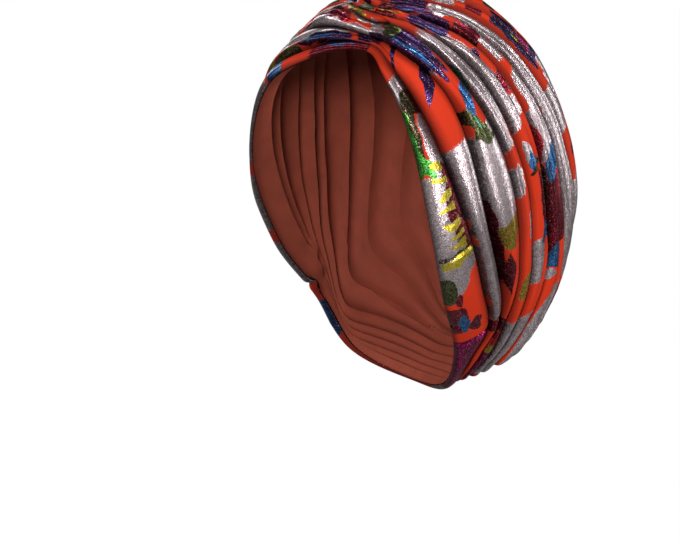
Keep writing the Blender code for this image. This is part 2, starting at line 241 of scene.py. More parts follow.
# Printed patches of each side and fold: where each starts and ends along the fold, its low and high edge
# across it, and its ink. The shape and the drift across from start to end follow where they aren't plain.
# The ink none clears what lies there back to the orange cloth.
PATCH_COLUMNS = ("start", "end", "low", "high", "ink", "shape", "drift")
PLAIN_PATCH = {"shape": "patch", "drift": 0.0}
PATCHES = {
    (1, "brow"): (
        (0.135, 0.225, -1.6, 1.5, "silver", "band"),
        (0.18, 0.25, -0.35, 1.6, "dark"),
        (0.19, 0.345, -0.7, 0.05, "dark", "leaf", -0.1),
        (0.245, 0.43, -0.05, 1.7, "silver", "patch", -0.4),
        (0.215, 0.372, -1.6, -0.5, "green", "patch", 0.15),
        (0.325, 0.374, -0.8, 0.15, "green", "leaf", 0.5),
        (0.372, 0.565, -1.8, 1.0, "silver", "band"),
        (0.345, 0.53, 0.25, 1.7, "maroon", "lobes"),
        (0.40, 0.52, 0.02, 0.26, "maroon", "leaf"),
        (0.52, 0.612, -1.5, 0.45, "silver", "patch", -0.8),
        (0.518, 0.524, -0.9, 1.4, "dark", "band"),
        (0.524, 0.54, -0.9, 1.4, "yellow", "band"),
        (0.56, 0.622, -1.6, -0.35, "olive"),
        (0.60, 0.635, -0.5, -0.05, "maroon", "leaf"),
        (0.633, 0.70, -1.1, -0.08, "maroon"),
        (0.655, 0.702, -0.55, -0.05, "blue", "leaf"),
        (0.676, 0.706, -0.05, 0.55, "maroon", "leaf"),
        (0.736, 0.89, -1.6, 1.6, "plum", "band"),
        (0.88, 0.94, -1.6, 1.6, "silver", "band"),
    ),
    (1, "tube"): (
        (-0.03, 0.046, -0.3, 1.6, "purple"),
        (0.07, 0.136, -0.46, 0.66, "purple", "leaf", -2.1),
        (0.168, 0.252, -0.05, 0.79, "purple", "leaf", -1.5),
        (0.337, 0.716, -1.7, 1.7, "silver"),
        (0.478, 0.54, -1.6, -0.72, "none"),
        (0.655, 0.69, -1.6, -0.6, "none", "leaf"),
        (0.716, 0.746, -1.6, 1.6, "maroon", "band"),
        (0.714, 0.724, -0.8, 0.2, "blue", "leaf"),
    ),
    (1, "wide"): (
        (-0.08, 0.062, -1.6, 0.45, "silver"),
        (-0.06, 0.045, 0.45, 1.6, "silver"),
        (0.045, 0.10, -0.1, 1.6, "olive"),
        (0.06, 0.238, -1.3, 1.15, "purple", "flame"),
        (0.135, 0.205, -0.98, -0.45, "purple", "leaf", -0.9),
        (0.055, 0.10, -0.95, -0.25, "purple", "leaf", -1.0),
        (-0.03, 0.085, -1.35, -0.2, "purple"),
        (0.115, 0.215, -1.0, -0.66, "silver", "leaf", 0.1),
        (0.07, 0.222, -0.42, -0.14, "blue", "leaf", -0.4),
        (0.252, 0.322, -0.4, 0.7, "blue", "patch", -0.9),
        (0.292, 0.375, -0.75, 0.3, "olive", "lobes", 1.3),
        (0.31, 0.345, -0.3, 0.05, "teal", "leaf", 0.3),
        (0.343, 0.545, -1.7, 1.7, "silver"),
        (0.47, 0.66, -1.7, -0.6, "maroon"),
        (0.528, 0.58, -0.65, 1.7, "gold", "band"),
        (0.585, 0.69, -0.7, 0.35, "maroon", "leaf"),
        (0.728, 0.765, -1.6, 1.6, "maroon", "band"),
        (0.757, 0.785, -0.8, 1.0, "red"),
        (0.782, 0.803, -0.9, 0.5, "gold"),
        (0.80, 0.90, -1.6, 1.6, "plum"),
    ),
    (1, "narrow"): (
        (-0.04, 0.022, -1.6, 0.2, "silver", "leaf"),
        (0.13, 0.425, -1.7, 1.7, "silver"),
        (0.33, 0.44, 0.5, 1.7, "none", "leaf", -0.5),
        (0.205, 0.30, -1.7, -0.5, "teal", "leaf"),
        (0.455, 0.52, -1.2, 0.45, "silver", "lobes"),
        (0.56, 0.605, 0.3, 1.6, "silver"),
        (0.665, 0.712, -0.6, 1.6, "gold"),
        (0.748, 0.865, -1.6, 1.6, "silver"),
    ),
    (1, "temple"): (
        (-0.05, 0.06, -1.6, 0.3, "maroon"),
        (0.00, 0.07, 0.15, 0.45, "gold", "leaf"),
        (0.085, 0.195, -0.9, 1.6, "purple", "patch", 0.4),
        (0.10, 0.185, -0.35, -0.1, "blue", "leaf", 0.2),
        (0.165, 0.425, -1.7, 0.15, "silver"),
        (0.25, 0.275, 0.0, 0.45, "purple", "leaf"),
        (0.325, 0.378, 0.1, 0.62, "maroon"),
        (0.362, 0.378, 0.35, 0.62, "silver"),
        (0.38, 0.425, -0.4, 0.55, "silver", "lobes"),
        (0.445, 0.495, -0.75, -0.1, "silver", "leaf", 0.3),
        (0.466, 0.512, -0.62, 0.05, "blue", "leaf", 0.2),
        (0.50, 0.52, -0.7, 0.6, "dark", "leaf", 0.3),
        (0.53, 0.66, 0.5, 1.7, "dark"),
        (0.53, 0.618, -0.1, 1.2, "maroon", "lobes"),
        (0.612, 0.638, -0.2, 0.7, "blue"),
        (0.628, 0.70, -1.1, 0.1, "silver", "patch", -0.4),
        (0.75, 0.90, -1.6, 1.4, "silver"),
    ),
    (1, "ear"): (
        (-0.05, 0.045, -1.6, 1.6, "maroon"),
        (0.035, 0.145, -0.8, 1.6, "purple", "flame"),
        (0.045, 0.12, -0.5, -0.1, "blue", "leaf", 0.2),
        (0.13, 0.175, 0.1, 1.6, "silver", "lobes"),
        (0.10, 0.19, -1.6, -0.3, "purple"),
        (0.19, 0.272, -1.5, 0.45, "maroon", "lobes"),
        (0.205, 0.345, 0.1, 1.6, "silver", "patch", -0.5),
        (0.25, 0.345, -0.55, 0.9, "silver", "lobes"),
        (0.378, 0.50, -0.55, 1.1, "silver", "patch", 0.4),
        (0.45, 0.548, -1.5, 1.7, "silver"),
        (0.46, 0.56, -1.6, -0.45, "red", "leaf"),
        (0.53, 0.61, -1.7, -0.72, "dark"),
        (0.545, 0.592, -0.7, 0.75, "blue"),
        (0.578, 0.69, -1.7, 1.3, "maroon"),
        (0.682, 0.703, -1.0, -0.15, "blue", "band"),
        (0.705, 0.722, -1.2, -0.15, "silver", "leaf"),
    ),
    (1, "shoulder"): (
        (0.02, 0.12, -1.6, 1.0, "purple"),
        (0.125, 0.29, -1.6, 1.0, "silver", "patch", 0.2),
        (0.24, 0.64, -0.9, 1.7, "silver"),
        (0.56, 0.77, -1.1, 0.55, "silver"),
        (0.64, 0.665, 0.6, 1.6, "maroon"),
        (0.69, 0.712, 0.4, 1.6, "maroon"),
    ),
    (1, "upper"): (
        (-0.02, 0.10, -1.6, 1.6, "maroon"),
        (0.10, 0.21, -0.6, 1.6, "silver"),
        (0.24, 0.30, -0.3, 1.2, "maroon"),
        (0.33, 0.515, -0.6, 1.7, "purple"),
        (0.355, 0.43, -0.4, 0.1, "blue", "leaf", 0.2),
        (0.446, 0.49, 0.0, 1.7, "none"),
        (0.446, 0.49, 0.0, 1.7, "plum"),
        (0.424, 0.444, 0.15, 0.75, "yellow"),
        (0.545, 0.64, -1.7, 1.7, "silver"),
        (0.665, 0.69, -0.4, 1.6, "purple"),
    ),
    (1, "top"): (
        (0.10, 0.26, -1.6, 0.4, "silver"),
        (0.36, 0.47, -1.6, -0.1, "purple", "lobes"),
        (0.47, 0.52, -1.6, -0.1, "plum"),
        (0.518, 0.548, -1.6, -0.2, "purple"),
        (0.54, 0.64, -1.6, 1.6, "silver"),
    ),
    (1, "ridge"): (
        (0.40, 0.465, -1.2, 0.4, "olive"),
    ),
    (-1, "brow"): (
        (-0.03, 0.155, -1.7, 1.7, "maroon", "band"),
        (0.03, 0.13, 0.3, 0.7, "blue", "leaf"),
        (0.228, 0.272, -1.7, 0.5, "blue"),
        (0.28, 0.46, -1.7, 1.0, "silver", "band"),
    ),
    (-1, "tube"): (
        (-0.03, 0.04, -0.6, 1.6, "purple"),
        (0.015, 0.13, -1.5, -0.65, "blue", "leaf", 0.3),
        (0.05, 0.205, -0.85, 0.35, "purple", "flame", -0.5),
        (0.08, 0.19, -0.3, 0.02, "blue", "leaf", -0.3),
        (0.055, 0.262, -0.4, 1.7, "silver"),
        (0.19, 0.262, -1.5, -0.42, "olive"),
        (0.262, 0.294, -1.1, 0.7, "gold"),
    ),
    (-1, "wide"): (
        (-0.08, 0.20, -1.6, 0.05, "silver"),
        (0.00, 0.055, 0.5, 1.6, "silver", "leaf"),
        (0.055, 0.21, 0.0, 1.7, "maroon"),
        (0.165, 0.222, -0.7, 1.7, "red"),
        (0.22, 0.30, -1.7, 1.7, "silver", "band"),
        (0.30, 0.335, -1.7, 1.2, "gold"),
        (0.40, 0.56, -1.7, 1.2, "silver"),
    ),
    (-1, "narrow"): (
        (0.012, 0.095, -1.0, 0.7, "gold", "leaf"),
        (0.09, 0.215, -1.7, 1.7, "maroon"),
    ),
    (-1, "temple"): (
        (-0.05, 0.055, -1.6, 0.8, "olive"),
    ),
    (-1, "ear"): (
        (0.03, 0.12, -1.6, 1.2, "maroon"),
    ),
}

# Petals along the left brow: the station of each and its reach towards the hem. They start at the foot
# across the fold and narrow towards the tip.
PETALS = ((0.352, 0.7), (0.378, 1.0), (0.403, 0.9), (0.432, 1.1), (0.458, 1.0), (0.484, 0.8), (0.506, 0.7))
PETAL_HALF = 0.0110
PETAL_FOOT = 0.60
PETAL_TIP = 0.30
PETAL_REACH = 0.75

# The inks in each distance field of the mesh. A later ink lies over an earlier one.
FIELD_SETS = {
    "ink_a": ("silver", "maroon", "plum"),
    "ink_b": ("purple", "blue", "dark"),
    "ink_c": ("olive", "teal", "red"),
    "ink_d": ("green", "gold", "yellow"),
}
# The most that a distance field says.
FAR = 6.0

# The shares of inks and shapes in the seeded scatter; the rest of the inks is bare orange. Lengths are in
# stations, heights in half widths of the fold, and a patch may reach past the valley beside it.
INK_SHARES = dict(silver=0.48, maroon=0.12, purple=0.12, blue=0.06, red=0.05, gold=0.05, olive=0.05)
SHAPE_SHARES = dict(patch=0.40, lobes=0.20, leaf=0.15, flame=0.15, band=0.10)
SCATTER_GAP = 0.02
SILVER_LENGTHS = (0.06, 0.20)
OTHER_LENGTHS = (0.03, 0.09)
PAST_VALLEY = 1.5
LOW_RANGE = (-1.0, -0.2)
HIGH_RANGE = (0.3, 1.0)
DRIFT_RANGE = (-0.5, 0.5)
NEXT_RANGE = (-0.01, 0.05)

# Outlines: how square each rounded shape is, and the lobes and leaf ends.
OUTLINE_POWERS = {"patch": 4.0, "band": 9.0, "lobes": 3.0}
LOBE = 3.2
LOBES_ALONG = (0.86, 0.20)
LOBES_ACROSS = (0.80, 0.30)
LEAF_POWER = 1.7
LEAF_END = 1.6
LEAST_HALF_WIDTH = 0.4
DRIFT_LIMIT = 1.5
PETAL_WIDTH = 1.3
PETAL_ROUND = 0.8
PETAL_TAPER = (1.1, 0.6)
# Fingers of a flame: how far each reaches, where it starts across, how far it drifts, and its share of
# the width.
FINGERS = (
    (1.0, -0.45, 0.25, 0.34),
    (0.92, 0.10, 0.10, 0.36),
    (0.78, 0.62, 0.15, 0.34),
    (0.60, -0.75, -0.1, 0.25),
)
FINGER_TAPER = 0.6
# Waves in the outlines: their direction and seed, how far they reach, and how long and high they are.
WOBBLE_COLUMNS = ("direction", "seed", "reach", "long", "high")
WOBBLES = (
    ("along", 21, 2.4, 4.0, 3.0),
    ("along", 23, 1.0, 1.8, 1.8),
    ("up", 22, 1.0, 4.0, 4.0),
)
WOBBLE_WAVES = 14

# Linear colours of the cloth, of its knit grooves with their painted shade, and of its reverse, and of its
# inks: for each ink a painted shaded copy, as if the flake were turned away, then a painted lit copy for a
# flake that catches the light.
ORANGE = (0.62, 0.036, 0.006, 1)
ORANGE_GROOVE_SHADE = (0.40, 0.018, 0.004, 1)
REVERSE = (0.30, 0.050, 0.022, 1)
REVERSE_DARKER = 0.6
# The near white of a painted glint.
GLINT_COLOUR = (1.0, 0.96, 0.98, 1)
# The painted shade at the bottom of a valley.
VALLEY_SHADE_COLOUR = (0.020, 0.004, 0.004, 1)
INK_SHADED_AND_LIT_COLOURS = {
    "silver": ((0.30, 0.225, 0.235, 1), (0.88, 0.78, 0.81, 1)),
    "maroon": ((0.030, 0.003, 0.006, 1), (0.42, 0.020, 0.045, 1)),
    "plum": ((0.035, 0.003, 0.012, 1), (0.50, 0.020, 0.16, 1)),
    "red": ((0.16, 0.006, 0.012, 1), (0.85, 0.040, 0.060, 1)),
    "purple": ((0.012, 0.005, 0.019, 1), (0.066, 0.024, 0.13, 1)),
    "blue": ((0.008, 0.030, 0.09, 1), (0.060, 0.28, 0.66, 1)),
    "dark": ((0.008, 0.007, 0.003, 1), (0.09, 0.075, 0.03, 1)),
    "olive": ((0.014, 0.016, 0.006, 1), (0.17, 0.19, 0.06, 1)),
    "teal": ((0.010, 0.035, 0.024, 1), (0.10, 0.48, 0.30, 1)),
    "green": ((0.012, 0.10, 0.010, 1), (0.16, 0.82, 0.12, 1)),
    "gold": ((0.12, 0.070, 0.006, 1), (0.80, 0.56, 0.08, 1)),
    "yellow": ((0.42, 0.30, 0.010, 1), (1.0, 0.86, 0.12, 1)),
}

# The first of the two mixed inputs, and the output, of a mix of each kind.
MIX_SOCKETS = {"FLOAT": (2, 0), "VECTOR": (4, 1), "RGBA": (6, 2)}

# The scale and the detail of each noise in the materials.
NOISES = {"edge": (0.9, 2.0), "clouds": (0.16, 4.0), "reverse": (0.08, 3.0)}

# The foil: its flakes, the broad clouds in their brightness, and the rare painted glints. Each flake's
# random value picks between the painted shaded and lit copies of its ink.
FLAKES_PER_MM = 1.9
FLAKE_TIP = 0.22
FLAKE_CONTRAST = 1.6
CLOUD_REACH = 0.9
GLINT_ABOVE = 0.93
GLINT_SHARE = 0.25
FOIL_METAL = 0.88
FOIL_ROUGH = 0.35
FLAKE_SMOOTHER = 0.08
CLOTH_ROUGH = 0.72
CLOTH_SPECULAR = 0.15
# The edge of an ink: the noise that roughens it, and how sharply it ends.
EDGE_REACH = 1.6
EDGE_SHARPNESS = 4.0
# The knit: its pitch and how deep it looks on each face, its wales and courses, and the contrast of the
# painted shade in its grooves.
KNIT_PITCH = 1.1
KNIT_DEPTH = 0.00010
REVERSE_PITCH = 0.8
REVERSE_DEPTH = 0.00015
REVERSE_ROUGH = 0.85
KNIT_BUMP = 0.4
WALE_SLANT = 0.75
COURSE_SLANT = -0.6
COURSE_SHARE = 0.35
KNIT_SWING = 0.35
GROOVE_SHADE_CONTRAST = 1.3
GROOVE_SHADE_SHIFT = -0.1
# Painted shade in the valleys: the share of its colour that the cloth keeps at the bottom of a valley, and
# how that rises with each millimetre.
VALLEY_SHADE_KEEP = 0.13
VALLEY_SHADE_RISE = 0.22
VALLEY_SHADE_POWER = 0.8

# Lamps: the place and the size of each in metres, its power and its colour. All aim at one point.
LIGHT_COLUMNS = ("place", "size", "height", "watts", "colour")
LIGHTS = {
    "softbox": ((0.66, -1.40, 0.50), 0.36, 0.36, 21.0, (1, 0.985, 0.985)),
    "key": ((-0.75, -1.20, 0.95), 0.35, 0.8, 11.0, (1, 0.985, 0.975)),
    "side_strip": ((1.50, -0.22, 0.10), 0.14, 1.0, 11.5, (1, 0.985, 0.99)),
    "top": ((0.3, 0.0, 1.5), 0.25, 0.25, 5.0, (1, 1, 1)),
    "back": ((0.9, 1.2, 0.5), 0.35, 0.8, 6.0, (1, 1, 1)),
    "far_side": ((-1.3, 0.5, 0.6), 0.5, 0.8, 5.0, (1, 1, 1)),
}
AIM_AT = (0.0, 0.02, 0.06)
WHITE = (1, 1, 1, 1)
WORLD_LIGHT = 0.06

# The floor is white to look at and grey to the light, so that it doesn't light the cloth from below. Its
# level and half width are in metres.
FLOOR_Z = -0.34
FLOOR_HALF = 12.0
FLOOR_GLOW = 0.96
FLOOR_WHITE = 1.04
FLOOR_GREY = (0.22, 0.22, 0.22, 1)

# The camera: its place in metres, its own axes, and its lens and sensor.
CAMERA_PLACE = (0.7546, -1.0678, 0.2405)
CAMERA_RIGHT = (0.76942, 0.60331, 0.20978)
CAMERA_UP = (-0.28126, 0.02514, 0.9593)
CAMERA_BACK = (0.57348, -0.79711, 0.18903)
CAMERA_LENS = 116.47
CAMERA_SENSOR = 36


def smooth(knots, values, at, ends):
    """A Catmull-Rom curve through the values. Past each end they repeat, times ends, as in a mirror."""
    t = np.array(knots, float)
    y = np.array(values, float)
    t = np.concatenate([[2 * t[0] - t[1]], t, [2 * t[-1] - t[-2]]])
    y = np.concatenate([[ends * y[1]], y, [ends * y[-2]]])
    slope = np.zeros_like(y)
    slope[1:-1] = (y[2:] - y[:-2]) / (t[2:] - t[:-2])
    i = np.clip(np.searchsorted(t, at, side="right") - 1, 1, len(t) - 3)
    step = t[i + 1] - t[i]
    k = (at - t[i]) / step
    return (
        (2 * k**3 - 3 * k**2 + 1) * y[i]
        + (k**3 - 2 * k**2 + k) * step * slope[i]
        + (3 * k**2 - 2 * k**3) * y[i + 1]
        + (k**3 - k**2) * step * slope[i + 1]
    )


def ease(low, high, value):
    """0 below low, 1 above high, and a smooth rise between."""
    k = np.clip((value - low) / (high - low), 0, 1)
    return k * k * (3 - 2 * k)


def window(start, end, value, soft):
    """1 between start and end, falling to 0 over the soft width round each of them."""
    half = soft / 2
    return ease(start - half, start + half, value) * (1 - ease(end - half, end + half, value))


def between_gathers(front, nape):
    """A share for each row: 1 between the two stations, falling to 0 at both gathers."""
    return ease(0.0, front, STATIONS) * (1 - ease(nape, 1.0, STATIONS))


def ripple(seed, u, w, waves=7):
    """Smooth noise, mostly from -1 to 1: a few seeded waves in all directions."""
    chance = np.random.default_rng(seed)
    total = np.zeros(np.broadcast(u, w).shape)
    for _ in range(waves):
        turn = chance.uniform(0, 2 * math.pi)
        pitch = chance.uniform(*PITCHES)
        shift = chance.uniform(0, 2 * math.pi)
        total = total + np.sin(pitch * (u * math.cos(turn) + w * math.sin(turn)) + shift)
    return total / math.sqrt(waves * 2)


def unit(vectors):
    return vectors / np.maximum(np.linalg.norm(vectors, axis=-1, keepdims=True), 1e-9)


def rows_on(side, columns, table):
    """The rows of a table that are on one side of the wearer, as dictionaries."""
    rows = [dict(zip(columns, row)) for row in table]
    return [row for row in rows if row["side"] == side]


def section_arcs(side):
    """The points of each station's section, from the face hem to the crown, and the lengths up to them."""
    rows = dict(SECTIONS)
    if side < 0:
        for station, hem in RIGHT_HEMS.items():
            rows[station] = hem + rows[station][3:]
    curves = []
    for name, values in zip(SECTION_COLUMNS, zip(*rows.values())):
        curves.append(smooth(list(rows), values, STATIONS, -1 if name.endswith("_x") else 1)[:, None])
    hem_x, hem_y, hem_z, wide_x, wide_y, wide_z, crown_y, crown_z = curves
    k = np.linspace(0, 1, ARC_POINTS)[None, :]
    turn = HEM_TURN * (1 - k)
    centre_x = (hem_x - wide_x * math.cos(HEM_TURN)) / (1 - math.cos(HEM_TURN))
    down = np.sin(turn) / math.sin(HEM_TURN)
    low = [
        centre_x + (wide_x - centre_x) * np.cos(turn),
        wide_y + (hem_y - wide_y) * down,
        wide_z + (hem_z - wide_z) * down,
    ]
    rise = math.pi / 2 * k[:, 1:]
    high = [
        wide_x * np.cos(rise),
        wide_y + (crown_y - wide_y) * np.sin(rise),
        wide_z + (crown_z - wide_z) * np.sin(rise),
    ]
    arcs = np.concatenate([np.stack(low, -1), np.stack(high, -1)], axis=1) * (side, 1, 1)
    steps = np.linalg.norm(np.diff(arcs, axis=1), axis=2)
    lengths = np.concatenate([np.zeros((ROWS, 1)), np.cumsum(steps, axis=1)], axis=1)
    return arcs, lengths


def valley_heights(side):
    """Heights of the valleys at each station. They wander a little, but not at the two gathers."""
    calm = between_gathers(*WANDER_SPAN)
    rows = [np.zeros(ROWS)]
    for i, row in enumerate(FOLDS.values()):
        wander = WANDER * ripple(SEED + FOLD_SEEDS * i + side, STATIONS * WANDER_WAVES, 0.0)
        if i == len(FOLDS) - 1:
            wander = 0.0
        rows.append(smooth(FOLD_STATIONS, row[:-1], STATIONS, 1) + wander * calm)
    return np.stack(rows, 1)


class Half:
    """The cloth on one side of the wearer, as a grid of rows along the folds and columns across them."""

    def __init__(self, side):
        self.side = side
        arcs, lengths = section_arcs(side)
        self.length = lengths[:, -1]
        self.edges = valley_heights(side)
        heights, folds, across = [], [], []
        for i in range(len(FOLDS)):
            last = i == len(FOLDS) - 1
            steps = np.linspace(-1, 0 if last else 1, (ACROSS // 2 if last else ACROSS) + 1)
            places = np.sin(steps * math.pi / 2)
            for x in places if last else places[:-1]:
                low, high = self.edges[:, i], self.edges[:, i + 1]
                heights.append(low + (x + 1) / 2 * (high - low))
                folds.append(i)
                across.append(x)
        self.height = np.stack(heights, 1)
        self.height[:, -1] = 1.0
        self.height = np.clip(self.height, 0, 1)
        self.fold = np.array(folds)
        self.across = np.array(across)
        self.station = np.broadcast_to(STATIONS[:, None], self.height.shape)
        self.mean = np.zeros(self.height.shape + (3,))
        for row in range(ROWS):
            reach = self.height[row] * self.length[row]
            for axis in range(3):
                self.mean[row, :, axis] = np.interp(reach, lengths[row], arcs[row, :, axis])
        self.width = (self.edges[:, 1:] - self.edges[:, :-1]) * self.length[:, None]
        self.along_mm = self.station * ALONG
        self.up_mm = self.height * self.length[:, None]
        self.faces = {}

    def first_column(self, valley):
        return len(self.fold) - 1 if valley >= len(FOLDS) else int(np.argmax(self.fold == valley))


def frames(half, other, points):
    """The grid's normals and its directions across the folds, joined to the other half at both gathers."""
    before = np.concatenate([other[1:2], points, other[-2:-1]], axis=0)
    along = before[2:] - before[:-2]
    beyond = 2 * points[:, -1:] - points[:, -2:-1]
    beyond[:, :, 0] = -points[:, -2:-1, 0]
    wide = np.concatenate([2 * points[:, :1] - points[:, 1:2], points, beyond], axis=1)
    across = wide[:, 2:] - wide[:, :-2]
    return unit(np.cross(along, across)) * half.side, unit(across)


def relief(half):
    """How far the cloth stands out from the mean surface at each point of the grid."""
    station, fold, x = half.station, half.fold, half.across[None, :]
    stand = FULLER * np.array([row[-1] for row in FOLDS.values()])
    stand = np.minimum(stand[None, :], DEEPEST_SHARE * half.width)
    stand *= 1 - NAPE_FLATTER * np.exp(-(((STATIONS - NAPE_STATION) / NAPE_SPREAD) ** 2))[:, None]
    if half.side < 0:
        stand[:, 0] *= 1 - RIGHT_BROW_FLATTER * window(*RIGHT_BROW_SPAN, STATIONS, TUCK_FADE)
    calm = between_gathers(*SWELL_SPAN)
    for i in range(len(FOLDS) - 1):
        swell = ripple(SEED + SWELL_SEED + SWELL_SEEDS * i + half.side, STATIONS * SWELL_WAVES, 0.0)
        stand[:, i] *= 1 + SWELL * calm * swell
    sink = (VALLEY_SINK * stand)[:, fold] * np.minimum(1, half.height / half.edges[:, 1:2])
    out = stand[:, fold] * np.sqrt(np.maximum(0, 1 - np.abs(x) ** PROFILE_POWER)) - sink
    out -= SNUG * ease(0.0, SNUG_RISE, half.height)
    mm_across = x * half.width[:, fold] / 2
    for tuck in rows_on(half.side, TUCK_COLUMNS, TUCKS):
        i = NAMES.index(tuck["fold"])
        drift = TUCK_DRIFT * ripple(SEED + int(TUCK_SEEDS * tuck["end"]), station * TUCK_WAVES, 0.0)
        place = (tuck["place"] + drift) * half.width[:, i : i + 1] / 2
        shape = np.exp(-(((mm_across - place) / tuck["width"]) ** 2))
        reach = window(tuck["start"], tuck["end"], station, TUCK_FADE)
        out -= (fold == i)[None, :] * tuck["depth"] * shape * reach
    for deep in rows_on(half.side, DEEP_COLUMNS, DEEPS):
        valley = half.edges[:, NAMES.index(deep["fold"])][:, None]
        away = (half.height - valley) * half.length[:, None]
        reach = window(deep["start"], deep["end"], station, DEEP_FADE)
        out -= deep["depth"] * np.exp(-((away / deep["width"]) ** 2)) * reach
    for crease in rows_on(half.side, CREASE_COLUMNS, CREASES):
        here = (fold == NAMES.index(crease["fold"]))[None, :]
        reach = window(crease["low"], crease["high"], x, CREASE_FADE) * here
        away = (station - crease["station"] - crease["slant"] * x) * ALONG
        out -= crease["depth"] * reach * np.exp(-((away / crease["width"]) ** 2))
    inside = 1 - np.abs(x) ** CALM_POWER
    along, up = half.along_mm, half.up_mm
    dents = ripple(SEED + DENT_SEED + half.side, along / DENT_LONG, up / DENT_HIGH, FINE_WAVES)
    out += DENT_DEPTH * inside * dents * calm[:, None]
    pulls = np.maximum(1 - ease(*STRANDS_FROM_FRONT, STATIONS), ease(*STRANDS_TO_NAPE, STATIONS))
    strands = ripple(SEED + STRAND_SEED, along / STRAND_LONG, up / STRAND_HIGH, FINE_WAVES)
    out += STRAND_DEPTH * inside * strands * pulls[:, None] * ease(0, STRAND_RISE, half.height)
    return out


def shifted(values, axis, reach):
    """The grid moved by every step up to reach, both ways along an axis, with its edges repeated."""
    size = values.shape[axis]
    places = [np.clip(np.arange(size) + step, 0, size - 1) for step in range(-reach, reach + 1)]
    return [np.take(values, place, axis=axis) for place in places]


def lowest_near(out):
    """The lowest relief round each point of the grid, smoothed, for an inner face below every valley."""
    for axis, reach in enumerate(INNER_REACH):
        out = np.minimum.reduce(shifted(out, axis, reach))
    for axis, reach in enumerate(INNER_REACH):
        out = sum(shifted(out, axis, reach)) / (2 * reach + 1)
    return out


def shape_halves():
    """Both halves with the points and normals of their outer and inner faces, in millimetres."""
    halves = {side: Half(side) for side in (1, -1)}
    made = {}
    for side, half in halves.items():
        normal, across = frames(half, halves[-side].mean, half.mean)
        lean = LEAN * ease(*LEAN_RISE, half.height) * (1 - ease(*LEAN_FALL, half.height))
        calm = between_gathers(*LEAN_SPAN)
        outer = relief(half)
        for face, out in (("outer", outer), ("inner", lowest_near(outer) - THICK)):
            sideways = (lean * np.maximum(out, 0) * calm[:, None])[..., None]
            points = half.mean + normal * out[..., None] - across * sideways
            points[:, -1, 0] = 0
            made[side, face] = points
    for side, half in halves.items():
        for face in ("outer", "inner"):
            direction = frames(half, made[-side, face], made[side, face])[0]
            direction[:, -1, 0] = 0
            direction[0, :, 0] = 0
            direction[-1, :, 0] = 0
            half.faces[face] = (made[side, face], unit(direction))
    return halves


def patch(side, fold, row):
    """A row of the print as a dictionary; what it leaves out is plain."""
    return {"side": side, "fold": fold} | PLAIN_PATCH | dict(zip(PATCH_COLUMNS, row))


def patch_rows():
    """The patches of the table, the petals, and a seeded scatter for what the photograph doesn't show."""
    rows = [patch(*place, row) for place, table in PATCHES.items() for row in table]
    for place, size in PETALS:
        low = PETAL_TIP - PETAL_REACH * size
        start, end = place - PETAL_HALF, place + PETAL_HALF
        rows.append(patch(1, "brow", (start, end, low, PETAL_FOOT, "yellow", "petal")))
    chance = np.random.default_rng(SEED)
    inks = list(INK_SHARES) + ["none"]
    shares = list(INK_SHARES.values())
    shares.append(1 - sum(shares))
    for side in (1, -1):
        for name in NAMES:
            taken = [row["end"] for row in rows if row["side"] == side and row["fold"] == name]
            at = max(taken, default=0.0) + SCATTER_GAP
            while at < 1.0:
                ink = str(chance.choice(inks, p=shares))
                long = chance.uniform(*(SILVER_LENGTHS if ink == "silver" else OTHER_LENGTHS))
                low = -PAST_VALLEY if chance.random() < 0.5 else chance.uniform(*LOW_RANGE)
                high = PAST_VALLEY if chance.random() < 0.5 else chance.uniform(*HIGH_RANGE)
                shape = str(chance.choice(list(SHAPE_SHARES), p=list(SHAPE_SHARES.values())))
                drift = chance.uniform(*DRIFT_RANGE)
                rows.append(patch(side, name, (at, at + long, low, high, ink, shape, drift)))
                at += long + chance.uniform(*NEXT_RANGE)
    return rows


def patch_distance(shape, u, w, a, b):
    """The signed distance of a point u along and w across from the edge of a patch of half size a by b."""
    if shape == "leaf":
        return b * (1 - np.minimum(np.abs(u / a), LEAF_END) ** LEAF_POWER) - np.abs(w)
    if shape == "flame":
        return np.maximum.reduce([finger_distance(u, w, a, b, *finger) for finger in FINGERS])
    if shape == "petal":
        share = np.clip((w / b + 1) / 2, 0, 1)
        taper = PETAL_TAPER[0] - PETAL_TAPER[1] * share
        return np.minimum(PETAL_WIDTH * a * share**PETAL_ROUND * taper - np.abs(u), b - np.abs(w))
    power = OUTLINE_POWERS[shape]
    if shape == "lobes":
        a = a * (LOBES_ALONG[0] + LOBES_ALONG[1] * np.abs(np.sin(w / LOBE)))
        b = b * (LOBES_ACROSS[0] + LOBES_ACROSS[1] * np.abs(np.sin(u / LOBE)))
    spread = (np.abs(u / a) ** power + np.abs(w / b) ** power) ** (1 / power)
    return (1 - spread) * np.minimum(a, b)


def finger_distance(u, w, a, b, reach, middle, drift, share):
    """One finger of a flame: it starts with the others and ends at its own reach and place across."""
    along = (u + a) / (reach * 2 * a)
    centre = b * (middle + drift * along**2)
    taper = np.sqrt(np.clip((1 - along) / (1 - FINGER_TAPER), 0, 1))
    width = b * share * np.where(along < FINGER_TAPER, 1.0, taper)
    width = np.where((along < 0) | (along > 1), -FAR, width)
    return width - np.abs(w - centre)


def wobble(half, direction):
    """How far the outlines of the print are moved at each point of the grid, in one direction."""
    total = 0
    for row in WOBBLES:
        wave = dict(zip(WOBBLE_COLUMNS, row))
        if wave["direction"] == direction:
            along, up = half.along_mm / wave["long"], half.up_mm / wave["high"]
            total = total + wave["reach"] * ripple(SEED + wave["seed"], along, up, WOBBLE_WAVES)
    return total


